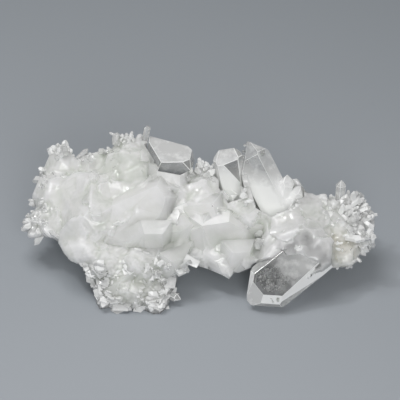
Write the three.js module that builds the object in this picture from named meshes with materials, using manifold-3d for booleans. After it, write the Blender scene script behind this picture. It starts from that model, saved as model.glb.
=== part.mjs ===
// A faden quartz cluster: tabular quartz crystals grown side by side across a thread, with
// clear points up and behind, one large clear crystal in front, a broken rough foot and fans
// of fine crystals at both ends. All of it grew together, so it is one solid.
// Millimetres, +Z up. X runs along the thread, the front is -Y, and the cluster stands on Z = 0.
import * as THREE from "three";
import { ConvexGeometry } from "three/addons/geometries/ConvexGeometry.js";
import { mergeVertices } from "three/addons/utils/BufferGeometryUtils.js";
import Module from "manifold-3d";

// Quartz form: six prism faces, and at the end six faces tilted this far from the crystal's axis.
const PRISM_FACES = 6;
const END_FACE_TILT = THREE.MathUtils.degToRad(51.8);
const SAME_POINT = 1e-4;
const FLOOR_CUT_DEPTH = 10;
const FLOOR_CUT_WIDTH = 200;

const wasm = await Module();
wasm.setup();

const vec = (a) => new THREE.Vector3(...a);
const six = (value) => (Array.isArray(value) ? value : Array(PRISM_FACES).fill(value));

// Repeatable random numbers from 0 to 1, so that every build gives the same cluster.
function randomFrom(seed) {
  let state = seed;
  return () => {
    state = (state * 16807) % 2147483647;
    return state / 2147483647;
  };
}

// A closed mesh as a solid that can be joined and cut.
function solidOf(geometry) {
  for (const name of ["normal", "uv"]) geometry.deleteAttribute(name);
  const merged = mergeVertices(geometry, SAME_POINT);
  return new wasm.Manifold(
    new wasm.Mesh({
      numProp: 3,
      vertProperties: merged.attributes.position.array,
      triVerts: new Uint32Array(merged.index.array),
    }),
  );
}

// The convex solid inside a list of flat faces, each a plane whose normal points out.
function solidInside(planes) {
  const corners = [];
  const matrix = new THREE.Matrix3();
  for (let i = 0; i < planes.length; i++)
    for (let j = i + 1; j < planes.length; j++)
      for (let k = j + 1; k < planes.length; k++) {
        const [a, b, c] = [planes[i], planes[j], planes[k]].map((p) => p.normal);
        matrix.set(a.x, a.y, a.z, b.x, b.y, b.z, c.x, c.y, c.z);
        if (Math.abs(matrix.determinant()) < 1e-6) continue;
        const corner = new THREE.Vector3(-planes[i].constant, -planes[j].constant, -planes[k].constant);
        corner.applyMatrix3(matrix.invert());
        const inside = planes.every((p) => p.distanceToPoint(corner) < SAME_POINT);
        const known = corners.some((p) => p.distanceTo(corner) < 10 * SAME_POINT);
        if (inside && !known) corners.push(corner);
      }
  return solidOf(new ConvexGeometry(corners));
}

const planeAt = (normal, point) =>
  new THREE.Plane().setFromNormalAndCoplanarPoint(normal.clone().normalize(), point);

// One quartz crystal. root and tip are the ends of its axis, face is the way its first prism face
// looks, half is how far each prism face stands from the axis, and drop is how far short of the
// tip each end face crosses the axis. One number means the same for all six.
function crystal({ root, tip, face, half, drop = 0 }) {
  const start = vec(root);
  const end = vec(tip);
  const axis = end.clone().sub(start).normalize();
  const first = vec(face).projectOnPlane(axis).normalize();
  const planes = [planeAt(axis.clone().negate(), start)];
  six(half).forEach((distance, i) => {
    const side = first.clone().applyAxisAngle(axis, (i * Math.PI * 2) / PRISM_FACES);
    const crossing = end.clone().addScaledVector(axis, -six(drop)[i]);
    const slope = side.clone().multiplyScalar(Math.sin(END_FACE_TILT));
    slope.addScaledVector(axis, Math.cos(END_FACE_TILT));
    planes.push(planeAt(side, start.clone().addScaledVector(side, distance)));
    planes.push(planeAt(slope, crossing));
  });
  return solidInside(planes);
}

// A broken lump: flat faces in random directions, each touching an ellipsoid.
function lump({ centre, radii, faces, seed }) {
  const random = randomFrom(seed);
  const planes = [];
  for (let i = 0; i < faces; i++) {
    const height = 1 - (2 * (i + 0.5)) / faces;
    const turn = i * 2.39996 + random();
    const ring = Math.sqrt(1 - height * height);
    const way = new THREE.Vector3(ring * Math.cos(turn), ring * Math.sin(turn), height);
    const touch = way.clone().multiply(vec(radii)).multiplyScalar(0.88 + 0.16 * random());
    planes.push(planeAt(way.divide(vec(radii)), touch.add(vec(centre))));
  }
  return solidInside(planes);
}

// A fan of small crystals: they start inside an ellipsoid and lean up to spread degrees from way.
function fan({ centre, radii, way, spread, count, length, half, seed }) {
  const random = randomFrom(seed);
  const between = ([low, high]) => low + (high - low) * random();
  const main = vec(way).normalize();
  const made = [];
  for (let i = 0; i < count; i++) {
    const offset = new THREE.Vector3(random() - 0.5, random() - 0.5, random() - 0.5).multiplyScalar(2);
    const root = vec(centre).add(offset.multiply(vec(radii)));
    const lean = THREE.MathUtils.degToRad(spread) * Math.sqrt(random());
    const tilted = main.clone().applyAxisAngle(
      new THREE.Vector3(random() - 0.5, random() - 0.5, random() - 0.5).cross(main).normalize(),
      lean,
    );
    const width = between(half);
    made.push(
      crystal({
        root: root.toArray(),
        tip: root.clone().addScaledVector(tilted, between(length)).toArray(),
        face: [random() - 0.5, random() - 0.5, random() + 0.2],
        half: six(0).map(() => width * (0.8 + 0.5 * random())),
        drop: six(0).map((_, side) => (side % 2 ? -2 : 0.6) * width * random()),
      }),
    );
  }
  return made;
}

// The milky mass along the thread, from left to right.
const mass = [
  lump({ centre: [-35.2, 17, 16.4], radii: [5, 5.6, 4.6], faces: 26, seed: 11 }),
  lump({ centre: [-36, 9.4, 13], radii: [7.4, 8, 5.2], faces: 26, seed: 12 }),
  lump({ centre: [-33.8, 2.5, 10.8], radii: [8.4, 7.4, 4.6], faces: 26, seed: 13 }),
  lump({ centre: [-27.5, 14, 16.6], radii: [5, 6, 6], faces: 26, seed: 14 }),
  lump({ centre: [-26, 4, 13.6], radii: [11, 13, 8], faces: 29, seed: 15 }),
  lump({ centre: [-17.4, 13, 18.4], radii: [8, 6, 6.8], faces: 25, seed: 16 }),
  lump({ centre: [-12, 5, 14.6], radii: [11, 11, 8.2], faces: 29, seed: 17 }),
  lump({ centre: [2, 6, 13.4], radii: [11, 9.5, 6.8], faces: 29, seed: 18 }),
  lump({ centre: [14, 4.4, 13.6], radii: [10, 9, 8], faces: 29, seed: 19 }),
  lump({ centre: [24.5, -0.5, 11.6], radii: [10, 9, 6], faces: 29, seed: 20 }),
  lump({ centre: [23.8, -6.6, 11.6], radii: [9, 6, 5.2], faces: 26, seed: 22 }),
  lump({ centre: [33, 0, 10.1], radii: [7.6, 7.4, 4.5], faces: 25, seed: 21 }),
  lump({ centre: [33, -7.4, 7.8], radii: [6, 5.4, 3.7], faces: 25, seed: 31 }),
];

// Broad plates with crisp front edges that make the rim, from left to right.
const plates = [
  crystal({
    root: [-31, 9, 17],
    tip: [-34.4, -5.4, 11.4],
    face: [-0.15, -0.4, 0.9],
    half: [2.4, 5.6, 5, 3, 5, 5.4],
    drop: [-3, 1.6, 1, 3, 1, 1.2],
  }),
  crystal({
    root: [-20, 4, 19.6],
    tip: [-22, -13.4, 12.4],
    face: [-0.1, -0.4, 0.9],
    half: [2.1, 8.4, 8, 3, 7.6, 8],
    drop: [-3, 3, 2, 4, 2, 3.4],
  }),
  crystal({
    root: [-9, 2, 19],
    tip: [-8.2, -10.6, 12.4],
    face: [0.05, -0.5, 0.87],
    half: [2.3, 5.8, 5.4, 3, 5.4, 5.6],
    drop: [-1, 2.2, 1.4, 3, 1.4, 2.2],
  }),
  crystal({
    root: [-3, 4, 18.4],
    tip: [3.4, -8, 13],
    face: [0.1, -0.55, 0.84],
    half: [2.4, 4.6, 4.4, 3, 4.4, 5],
    drop: [0.4, 1.6, 1, 2.4, 1, 1.2],
  }),
  crystal({
    root: [11, 5, 19.4],
    tip: [12.6, -8.8, 12.8],
    face: [0.2, -0.5, 0.84],
    half: [2.4, 4.8, 4.4, 3, 4.4, 4.8],
    drop: [-1, 1.4, 1, 3, 1, 1.8],
  }),
  crystal({
    root: [19, 6, 17.6],
    tip: [27, -11.6, 10.6],
    face: [0.15, -0.42, 0.9],
    half: [2.4, 6, 5.6, 3, 5.6, 6],
    drop: [-2, 1.2, 1, 3, 1, 2],
  }),
];

// Faces that stand a little proud of the milky top.
const proud = [
  crystal({
    root: [-20.5, 1.5, 15.6],
    tip: [-8, 6.6, 21.6],
    face: [-0.5, -0.2, 0.9],
    half: [2.2, 4, 4.2, 3, 3, 3],
    drop: 1,
  }),
  crystal({
    root: [-9, 9, 15],
    tip: [-7.2, 5.6, 22.4],
    face: [0, -0.8, 0.5],
    half: [2.5, 2.6, 2.2, 2.4, 2.2, 2.6],
    drop: [1, 0, 2, 0, 0, 0],
  }),
  crystal({
    root: [-3, 10, 15],
    tip: [-3, 9, 21.6],
    face: [0, -0.9, 0.3],
    half: [2, 2, 2.2, 2, 2, 2.2],
    drop: [0, 1, 0, 1, 0, 0],
  }),
  crystal({
    root: [2, 9, 12],
    tip: [2.6, 4, 19.8],
    face: [0, -0.8, 0.5],
    half: [2.6, 3, 2.6, 2.4, 2.2, 2.6],
    drop: [1, 0, 1.6, 0, 0, 0.4],
  }),
  crystal({
    root: [-27, 5, 14],
    tip: [-24, 3.4, 20.6],
    face: [-0.3, -0.8, 0.3],
    half: [4.6, 4, 4.4, 4, 4.6, 4.4],
    drop: [0, 1, 0, 1.6, 0, 0.6],
  }),
  crystal({
    root: [22, -2, 10],
    tip: [23.6, -6.4, 16.8],
    face: [0.1, -0.8, 0.5],
    half: [3, 3.4, 3, 3, 3.2, 3],
    drop: [0.6, 0, 1, 0.6, 0, 0.4],
  }),
];

// Crystals that show below the rim, with their ends towards the front.
const underRim = [
  crystal({
    root: [4.6, 2, 13.6],
    tip: [7.6, -16.2, 5.4],
    face: [-0.05, -0.62, 0.78],
    half: [2.6, 5.6, 4.6, 2.2, 4.6, 5.6],
    drop: [2.6, 0, 0.4, 0.6, 0.5, 1.4],
  }),
  crystal({
    root: [-4, 3, 13],
    tip: [2.6, -13.4, 5.4],
    face: [-0.3, -0.62, 0.7],
    half: [3, 4, 2.8, 1.8, 2.8, 4],
    drop: [0.6, 0, 0, 0.8, 0, 1],
  }),
  crystal({
    root: [-10, 2, 13],
    tip: [-3, -11.4, 7],
    face: [-0.4, -0.7, 0.5],
    half: [3, 4, 3.2, 2.2, 3.2, 4],
    drop: [0.8, 0.3, 0, 0, 0.5, 0.2],
  }),
  crystal({
    root: [-14, -2, 16],
    tip: [-13.4, -9, 3],
    face: [-0.2, -0.9, -0.4],
    half: [3, 4.2, 4, 3, 4, 4.4],
    drop: [0.8, 0.3, 0, 1, 0.5, 1],
  }),
  crystal({
    root: [14, 3, 11],
    tip: [11.2, -14.6, 6.4],
    face: [0.2, -0.7, 0.6],
    half: [2.4, 3.6, 3.4, 2.4, 3.4, 3.4],
    drop: [0.9, 0, 0.4, 0, 0.3, 0.5],
  }),
  crystal({
    root: [9, -6, 8],
    tip: [7, -16.6, 5.6],
    face: [0.2, -0.7, 0.6],
    half: [1, 1.3, 1.2, 1, 1.2, 1.3],
    drop: 0,
  }),
];

// The large clear crystal in front, lying down towards the left with its end on the ground.
const frontCrystal = crystal({
  root: [29, -10.6, 11.2],
  tip: [11.2, -20.6, 1.2],
  face: [0, -0.71, 0.71],
  half: [3.1, 5.6, 5.6, 3.1, 5.2, 5.2],
  drop: [1.4, 0.2, 0.6, 1.2, 0.6, 0],
});

// The short clear crystal at the top, with a broad bright face and a steep dark one under it.
const shortCrystal = solidInside([
  planeAt(vec([0.03, -0.12, 1]), vec([-4.2, 8.5, 24])),
  planeAt(vec([0.05, -0.97, -0.2]), vec([-9.2, 7.6, 24])),
  planeAt(vec([-0.8, -0.55, 0.2]), vec([-9.9, 7.3, 24])),
  planeAt(vec([0.97, -0.14, 0.1]), vec([-2.1, 12.2, 24.6])),
  planeAt(vec([0.5, -0.85, 0.1]), vec([-4, 8.1, 24])),
  planeAt(vec([0.34, 0.94, 0.1]), vec([-2.6, 13.6, 24.6])),
  planeAt(vec([0.7, 0.5, 0.5]), vec([-2.6, 13, 24.6])),
  planeAt(vec([0.5, -0.3, -0.8]), vec([-3, 9, 20])),
  planeAt(vec([0, 0, -1]), vec([0, 0, 14])),
  planeAt(vec([-1, 0, 0]), vec([-16, 0, 0])),
]);

// The clear points that stand up behind, from left to right.
const points = [
  crystal({
    root: [-14.6, 15.6, 22],
    tip: [-13, 18, 28.6],
    face: [-0.6, -0.8, 0.1],
    half: 0.8,
    drop: [0, 0.5, 0, 0.6, 0, 0.4],
  }),
  crystal({
    root: [9.4, 7, 12],
    tip: [6.5, 11.6, 25.7],
    face: [-0.1, -0.9, 0.2],
    half: [2.8, 3.1, 3.1, 2.8, 3.1, 3.1],
    drop: [0, -2, -2, 0.6, -1.8, -1.8],
  }),
  crystal({
    root: [21.6, 1.4, 11.6],
    tip: [11, 13, 28.2],
    face: [-0.35, -0.8, 0.5],
    half: [3.2, 3.2, 3.4, 3.4, 3.8, 3.8],
    drop: [2.4, 1.6, 2.2, 0, 0, 1],
  }),
  crystal({
    root: [20, 2, 12],
    tip: [22.2, 6.8, 21.6],
    face: [0.3, -0.8, 0.4],
    half: [2.2, 2, 2, 2, 2.2, 2],
    drop: [0.6, 0, 0.8, 0.2, 0.5, 0],
  }),
  crystal({
    root: [22, 1, 12],
    tip: [25.4, 4.8, 19.6],
    face: [0.2, -0.9, 0.2],
    half: [2, 1.8, 1.8, 2, 1.8, 1.9],
    drop: [0, 0.6, 0, 0.7, 0.2, 0.5],
  }),
  crystal({
    root: [24.6, 0, 11],
    tip: [27.6, 3, 16.8],
    face: [0.3, -0.8, 0.3],
    half: [1.8, 1.7, 1.6, 1.8, 1.7, 1.6],
    drop: [0.4, 0, 0.7, 0, 0.5, 0],
  }),
  crystal({
    root: [35, 3.6, 12],
    tip: [35.4, 5.4, 20.4],
    face: [-0.5, -0.8, 0.2],
    half: [1.6, 1.4, 1.5, 1.6, 1.4, 1.5],
    drop: [0, 0.9, 0, 0.7, 0, 1.1],
  }),
];

// The broken foot in front on the left, with its ledges, its corner and its hanging teeth.
const foot = [
  solidInside([
    planeAt(vec([0.02, -0.72, 0.69]), vec([-18, -12.6, 9.4])),
    planeAt(vec([0, 0, -1]), vec([0, 0, 0])),
    planeAt(vec([-0.76, -0.1, -0.64]), vec([-31.5, -10, 8.4])),
    planeAt(vec([0.86, -0.1, -0.5]), vec([-4.4, -11, 8.4])),
    planeAt(vec([-0.55, -0.8, 0.2]), vec([-24.5, -17, 3])),
    planeAt(vec([0.6, -0.75, 0.1]), vec([-9.6, -17.5, 3])),
    planeAt(vec([0, 1, -0.3]), vec([-18, 1, 8])),
    planeAt(vec([0, 0, 1]), vec([0, 0, 11.5])),
  ]),
  lump({ centre: [-28, -9, 9.6], radii: [5.4, 4.6, 3.4], faces: 15, seed: 41 }),
  lump({ centre: [-23, -12.6, 7.6], radii: [5, 4.6, 4], faces: 15, seed: 42 }),
  lump({ centre: [-15.6, -13, 7.4], radii: [5.4, 4.4, 4], faces: 15, seed: 43 }),
  lump({ centre: [-8.4, -12, 7.4], radii: [4.6, 4, 3.6], faces: 14, seed: 44 }),
  lump({ centre: [-18.6, -16.6, 4], radii: [6.4, 4.4, 3], faces: 15, seed: 45 }),
  lump({ centre: [-11.6, -15.6, 3.6], radii: [4.4, 4, 3.4], faces: 15, seed: 46 }),
  crystal({
    root: [-15, -12, 7],
    tip: [-24.6, -19.6, 1.2],
    face: [-0.3, -0.7, 0.6],
    half: [2.2, 2.6, 2.4, 2.2, 2.4, 2.6],
    drop: [0.8, 0, 1, 0, 0.6, 0],
  }),
  crystal({
    root: [-11, -15, 6],
    tip: [-10.8, -22.6, 0.3],
    face: [0, -0.6, 0.8],
    half: [1.3, 1.5, 1.4, 1.2, 1.4, 1.5],
    drop: [0.6, 0, 0.4, 0, 0.3, 0],
  }),
  crystal({
    root: [-10.5, -15, 2.4],
    tip: [-4.4, -19.2, 1.7],
    face: [0, -0.6, 0.8],
    half: 1.1,
    drop: [0.3, 0, 0.4, 0, 0.3, 0.2],
  }),
  crystal({
    root: [-12, -8, 8],
    tip: [-2.8, -12, 9],
    face: [0.1, -0.5, 0.8],
    half: [1.4, 2, 1.8, 1.4, 1.8, 2],
    drop: [0.5, 0, 0.4, 0.4, 0.3, 0],
  }),
  ...[0, 1, 2].map((step) =>
    crystal({
      root: [-25 + step, -13.6, 3.3 - step],
      tip: [-9.4 - 1.4 * step, -20.4 - 0.3 * step, 2.7 - step],
      face: [0, -0.2, 1],
      half: [0.36, 2.8, 2.6, 0.36, 2.6, 2.8],
      drop: [0, 0.5, 0, 0.4, 0, 0.6],
    }),
  ),
];

// Behind and below, out of sight from the front, where the cluster also touches the ground.
const back = [
  crystal({
    root: [-27, 4, 12],
    tip: [-30, 17, -3.4],
    face: [0, 0.7, 0.6],
    half: [3.4, 4.6, 4.4, 3.4, 4.4, 4.6],
    drop: 0,
  }),
  crystal({
    root: [-13, 6, 13],
    tip: [-11, 20, 6.6],
    face: [0, 0.5, 0.9],
    half: [4, 6, 5.6, 4, 5.6, 6],
    drop: [1, 0, 0.4, 1, 0.4, 0.8],
  }),
  crystal({
    root: [5, 4, 12],
    tip: [4, 18, 8.4],
    face: [0.2, 0.4, 0.9],
    half: [3.4, 5.6, 5.2, 3.4, 5.2, 5.6],
    drop: [1.2, 0, 0.4, 1, 0.4, 0.6],
  }),
  crystal({
    root: [19, 2, 12],
    tip: [22, 15.4, -3.4],
    face: [0, 0.7, 0.6],
    half: [3, 4.2, 4, 3, 4, 4.2],
    drop: 0,
  }),
  crystal({
    root: [29, 0, 10],
    tip: [33, 11, 5],
    face: [0.2, 0.5, 0.8],
    half: [3, 4.4, 4, 3, 4, 4.4],
    drop: [0.8, 0, 0.4, 0.8, 0.4, 0.6],
  }),
];

// Fans of fine crystals at both ends and along the top edge.
const fine = [
  ...fan({
    centre: [36.2, 1.5, 12.6],
    radii: [3, 3, 2],
    way: [1, 0.1, 0.12],
    spread: 42,
    count: 18,
    length: [5, 8.6],
    half: [0.7, 1.3],
    seed: 101,
  }),
  ...fan({
    centre: [36.6, -4, 9.6],
    radii: [2.6, 2.4, 2],
    way: [0.8, -0.5, -0.15],
    spread: 36,
    count: 14,
    length: [5, 8],
    half: [0.7, 1.2],
    seed: 102,
  }),
  ...fan({
    centre: [35, 2, 13.4],
    radii: [4, 2, 1.2],
    way: [0.3, 0.1, 1],
    spread: 46,
    count: 9,
    length: [2.6, 4.6],
    half: [0.7, 1.2],
    seed: 103,
  }),
  ...fan({
    centre: [-39.4, 1, 9.2],
    radii: [2.4, 3, 1.4],
    way: [-0.9, -0.15, 0.1],
    spread: 50,
    count: 14,
    length: [3, 5.4],
    half: [0.7, 1.2],
    seed: 104,
  }),
  ...fan({
    centre: [-35, 18.6, 18.6],
    radii: [2, 1.6, 1],
    way: [0, 0.4, 0.9],
    spread: 40,
    count: 5,
    length: [2.2, 3.6],
    half: [1, 1.7],
    seed: 105,
  }),
  ...fan({
    centre: [-27.6, 16.5, 20],
    radii: [2, 1, 1],
    way: [0, 0.3, 0.9],
    spread: 35,
    count: 3,
    length: [2, 3.2],
    half: [1.1, 1.7],
    seed: 106,
  }),
  ...fan({
    centre: [-18.6, 16.4, 23.6],
    radii: [2.8, 0.8, 0.8],
    way: [-0.1, 0.2, 1],
    spread: 40,
    count: 8,
    length: [1.8, 3.6],
    half: [0.45, 0.8],
    seed: 107,
  }),
  ...fan({
    centre: [1, 12, 18],
    radii: [2.8, 1, 0.8],
    way: [0, 0, 1],
    spread: 50,
    count: 7,
    length: [2, 3.6],
    half: [0.6, 1],
    seed: 108,
  }),
  ...fan({
    centre: [29.6, 2, 13.6],
    radii: [2.6, 1.2, 0.8],
    way: [0.1, 0, 1],
    spread: 50,
    count: 6,
    length: [2.4, 3.6],
    half: [0.7, 1.2],
    seed: 109,
  }),
];

function joined(solids) {
  return solids.reduce((whole, next) => whole.add(next));
}

const grown = joined([
  ...mass,
  ...plates,
  ...proud,
  ...underRim,
  frontCrystal,
  shortCrystal,
  ...points,
  ...foot,
  ...back,
  ...fine,
]);
const ground = new THREE.BoxGeometry(FLOOR_CUT_WIDTH, FLOOR_CUT_WIDTH, FLOOR_CUT_DEPTH);
ground.translate(0, 0, -FLOOR_CUT_DEPTH / 2);

// The outer skin only: small gaps shut in between crystals are solid quartz.
const skins = grown.subtract(solidOf(ground)).decompose();
const outer = skins.reduce((largest, skin) => (skin.volume() > largest.volume() ? skin : largest));
const mesh = outer.getMesh();
const cluster = new THREE.BufferGeometry();
cluster.setAttribute("position", new THREE.BufferAttribute(mesh.vertProperties, mesh.numProp));
cluster.setIndex(new THREE.BufferAttribute(mesh.triVerts, 1));

// The middle of the footprint is the origin.
cluster.computeBoundingBox();
const middle = cluster.boundingBox.getCenter(new THREE.Vector3());
cluster.translate(-middle.x, -middle.y, 0);

const quartz = new THREE.MeshStandardMaterial({ color: 0xd9dcda, roughness: 0.2, metalness: 0 });
const part = new THREE.Group();
part.name = "faden_quartz";
const body = new THREE.Mesh(cluster, quartz);
body.name = "quartz_cluster";
part.add(body);

export default part;
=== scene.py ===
"""Looks for the faden quartz cluster.

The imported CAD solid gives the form. It is replaced by pieces of the same form: the milky mass with
its fine relief, the clear crystals that stand out of it, and the fine crystals at its ends and on
its broken places. Shapes below are in millimetres, in the frame that part.mjs builds in.
"""
import itertools

import bpy
import numpy as np
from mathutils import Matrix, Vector, kdtree
from mathutils.bvhtree import BVHTree


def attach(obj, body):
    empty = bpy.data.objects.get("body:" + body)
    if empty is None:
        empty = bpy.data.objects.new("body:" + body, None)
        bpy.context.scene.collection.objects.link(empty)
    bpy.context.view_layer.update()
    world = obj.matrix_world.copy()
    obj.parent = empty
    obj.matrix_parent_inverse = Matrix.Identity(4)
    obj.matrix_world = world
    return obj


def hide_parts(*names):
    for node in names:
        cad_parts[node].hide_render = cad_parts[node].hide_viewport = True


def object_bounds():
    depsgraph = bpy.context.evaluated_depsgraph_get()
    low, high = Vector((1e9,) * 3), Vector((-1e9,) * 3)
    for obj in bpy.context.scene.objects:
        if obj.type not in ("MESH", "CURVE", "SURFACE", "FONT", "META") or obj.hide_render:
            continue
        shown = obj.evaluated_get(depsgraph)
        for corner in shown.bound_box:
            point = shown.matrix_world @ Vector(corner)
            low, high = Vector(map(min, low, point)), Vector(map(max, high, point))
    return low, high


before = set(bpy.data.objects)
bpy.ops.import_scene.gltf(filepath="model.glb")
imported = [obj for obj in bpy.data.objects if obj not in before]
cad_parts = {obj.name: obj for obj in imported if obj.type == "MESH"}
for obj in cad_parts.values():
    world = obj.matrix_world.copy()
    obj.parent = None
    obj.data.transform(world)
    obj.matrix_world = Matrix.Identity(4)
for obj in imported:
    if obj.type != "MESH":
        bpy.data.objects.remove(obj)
CAD_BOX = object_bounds()

NODE = "quartz_cluster"
MM = 0.001
# part.mjs moves the middle of the footprint to the origin by this much.
MIDDLE = np.array([-0.229, 0.206, 0.0])
QUARTZ_IOR = 1.544
END_FACE_TILT = np.radians(51.8)
SAME_POINT = 2e-3
SAME_WAY = 0.9999
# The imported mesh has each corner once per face: in metres, how near corners are the same.
WELD_DISTANCE = 1e-6

# The camera: how high it stands over the ground, what it looks at, how far away it is, its lens.
CAMERA_ELEVATION = np.radians(38)
CAMERA_TARGET = np.array([0, 0, 18.0])
CAMERA_DISTANCE = 420
CAMERA_LENS = 152.1
SENSOR = 36
PHOTO_SIZE = 400
MM_PER_PIXEL = CAMERA_DISTANCE * SENSOR / CAMERA_LENS / PHOTO_SIZE
# Painted pool of light: the floor's colour is brightest around this point in front of the cluster.
PAINTED_FLOOR_LIGHT = np.array([-30, -150, 0])
FORWARD = np.array([0, np.cos(CAMERA_ELEVATION), -np.sin(CAMERA_ELEVATION)])
UP = np.array([0, np.sin(CAMERA_ELEVATION), np.cos(CAMERA_ELEVATION)])
EYE = CAMERA_TARGET - FORWARD * CAMERA_DISTANCE

random = np.random.default_rng(7)


def unit(vectors):
    """Vectors, one or many, at length one."""
    vectors = np.asarray(vectors, float)
    return vectors / np.linalg.norm(vectors, axis=-1, keepdims=True)


def in_metres(points):
    """Points in part.mjs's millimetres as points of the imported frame."""
    return (np.asarray(points) - MIDDLE) * MM


# ---- Crystal forms


def plane(normal, point):
    """A plane through a point, as its unit normal and its distance."""
    normal = unit(normal)
    return [*normal, normal @ np.asarray(point, float)]


def corners_and_faces(planes):
    """Corners and faces of the solid inside planes whose normals point out.

    Each face comes as its plane's number and the numbers of its corners.
    """
    normals, distances = planes[:, :3], planes[:, 3]
    triples = np.array(list(itertools.combinations(range(len(planes)), 3)))
    matrices = normals[triples]
    meeting = np.abs(np.linalg.det(matrices)) > 1e-6
    found = np.linalg.solve(matrices[meeting], distances[triples[meeting]][..., None])[..., 0]
    corners = []
    for corner in found[(found @ normals.T <= distances + 1e-4).all(axis=1)]:
        if all(np.linalg.norm(corner - known) > SAME_POINT for known in corners):
            corners.append(corner)
    corners = np.array(corners)
    faces = []
    for number, (normal, distance) in enumerate(zip(normals, distances)):
        on_face = np.flatnonzero(np.abs(corners @ normal - distance) < SAME_POINT)
        if len(on_face) < 3:
            continue
        from_middle = corners[on_face] - corners[on_face].mean(axis=0)
        across = unit(from_middle[0])
        turn = np.arctan2(from_middle @ np.cross(normal, across), from_middle @ across)
        faces.append((number, on_face[np.argsort(turn)]))
    return corners, faces


def six(value):
    """One number for all six faces, or a list with one for each."""
    return [value] * 6 if np.isscalar(value) else value


def turned(vector, axis, angle):
    """A vector at right angles to axis, turned about it."""
    return vector * np.cos(angle) + np.cross(axis, vector) * np.sin(angle)


def crystal_planes(root, tip, face, half, drop=0, extra=()):
    """One quartz crystal as planes: its base, then each prism face and the end face over it."""
    root, tip, face = (np.array(value, float) for value in (root, tip, face))
    axis = unit(tip - root)
    first = unit(face - (face @ axis) * axis)
    planes = [plane(-axis, root)]
    for i, (distance, short) in enumerate(zip(six(half), six(drop))):
        side = turned(first, axis, i * np.pi / 3)
        slope = side * np.sin(END_FACE_TILT) + axis * np.cos(END_FACE_TILT)
        planes.append(plane(side, root + distance * side))
        planes.append(plane(slope, tip - short * axis))
    return np.array(planes + [plane(*more) for more in extra])


def box_planes():
    """The CAD box as planes."""
    low, high = (np.array(corner) / MM + MIDDLE for corner in CAD_BOX)
    return [plane(-way, low) for way in np.eye(3)] + [plane(way, high) for way in np.eye(3)]


def grown_by(planes, distance):
    """The same solid with every face moved out."""
    return np.column_stack([planes[:, :3], planes[:, 3] + distance])


# ---- Meshes and pieces


def mesh_object(name, corners, faces):
    """A new object with flat faces, its corners in part.mjs's millimetres."""
    mesh = bpy.data.meshes.new(name)
    mesh.from_pydata(in_metres(corners).tolist(), [], [[int(i) for i in face] for face in faces])
    mesh.update()
    mesh.shade_flat()
    made = bpy.data.objects.new(name, mesh)
    bpy.context.collection.objects.link(made)
    return made


def solid_object(name, planes):
    corners, faces = corners_and_faces(planes)
    return mesh_object(name, corners, [face for _, face in faces])


def read(items, name, size=3, kind=np.float32):
    """A property of all items of a mesh as an array."""
    values = np.zeros(len(items) * size, kind)
    items.foreach_get(name, values)
    return values.reshape(-1, size).astype(float)


def places_of(piece):
    """A piece's corners in part.mjs's millimetres."""
    return read(piece.data.vertices, "co") / MM + MIDDLE


def painted(piece, name, values, domain="POINT"):
    """Keep a value for each point or face of a piece, for its material."""
    attribute = piece.data.attributes.new(name, "FLOAT", domain)
    attribute.data.foreach_set("value", np.asarray(values, np.float32))


def apply_modifiers(piece):
    """Replace a piece's mesh by what its modifiers make of it."""
    graph = bpy.context.evaluated_depsgraph_get()
    mesh = bpy.data.meshes.new_from_object(piece.evaluated_get(graph))
    piece.modifiers.clear()
    piece.data = mesh


def combined(piece, others, operation):
    """Join solids to a piece or cut them out of it, and remove them."""
    for other in others:
        step = piece.modifiers.new(other.name, "BOOLEAN")
        step.operation = operation
        step.solver = "MANIFOLD"
        step.object = other
    apply_modifiers(piece)
    for other in others:
        bpy.data.objects.remove(other)


def one_solid(name, solids):
    """One object made of many overlapping solids, each given as planes."""
    first, *others = [solid_object(name, planes) for planes in solids]
    combined(first, others, "UNION")
    return first


def inside_box(points):
    """Points kept inside the CAD box."""
    low, high = (np.array(corner) / MM + MIDDLE for corner in CAD_BOX)
    return np.clip(points, low, high)


def finished(piece, material):
    """Give a piece its material and tell the frame what it is."""
    piece.data.materials.clear()
    piece.data.materials.append(material)
    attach(piece, "root")
    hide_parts(NODE)
    return piece


# ---- Placing by the photograph


def camera_way(pixel):
    """Which way the camera looks through a pixel of the photograph."""
    step = SENSOR / CAMERA_LENS / PHOTO_SIZE
    right, rise = (pixel[0] - PHOTO_SIZE / 2) * step, (PHOTO_SIZE / 2 - pixel[1]) * step
    return unit(FORWARD + (right, 0, 0) + rise * UP)


def on_plane(pixel, normal, distance):
    """The point of a plane that shows at a pixel."""
    way = camera_way(pixel)
    return EYE + way * (distance - EYE @ normal) / (way @ normal)


def view_cone(outline):
    """Planes through the camera and the edges of an outline of pixels, in turning order."""
    ways = [camera_way(pixel) for pixel in outline]
    middle = camera_way(np.mean(outline, axis=0))
    planes = []
    for first, second in zip(ways, ways[1:] + ways[:1]):
        out = np.cross(first, second)
        planes.append(plane(-out * np.sign(out @ middle), EYE))
    return planes


def clearing(face, outline, depth=12):
    """The room between the camera and a crystal's face that shows at an outline of pixels."""
    normal, distance = face[:3], face[3]
    near, far = normal * (distance - 0.3), normal * (distance + depth)
    return np.array([plane(-normal, near), plane(normal, far), *view_cone(outline)])


def surface_of(piece):
    """A piece's surface for finding what a ray hits."""
    mesh = piece.data
    mesh.calc_loop_triangles()
    corners = [vertex.co for vertex in mesh.vertices]
    return BVHTree.FromPolygons(corners, [triangle.vertices[:] for triangle in mesh.loop_triangles])


def seen(surface, pixel):
    """The point and normal of the surface that show at a pixel, or None."""
    hit, normal, _, _ = surface.ray_cast(Vector(in_metres(EYE)), Vector(camera_way(pixel)))
    return None if hit is None else (np.array(hit) / MM + MIDDLE, np.array(normal))


# ---- The clear crystals, as in part.mjs, with two broad bevels on the front one

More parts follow.
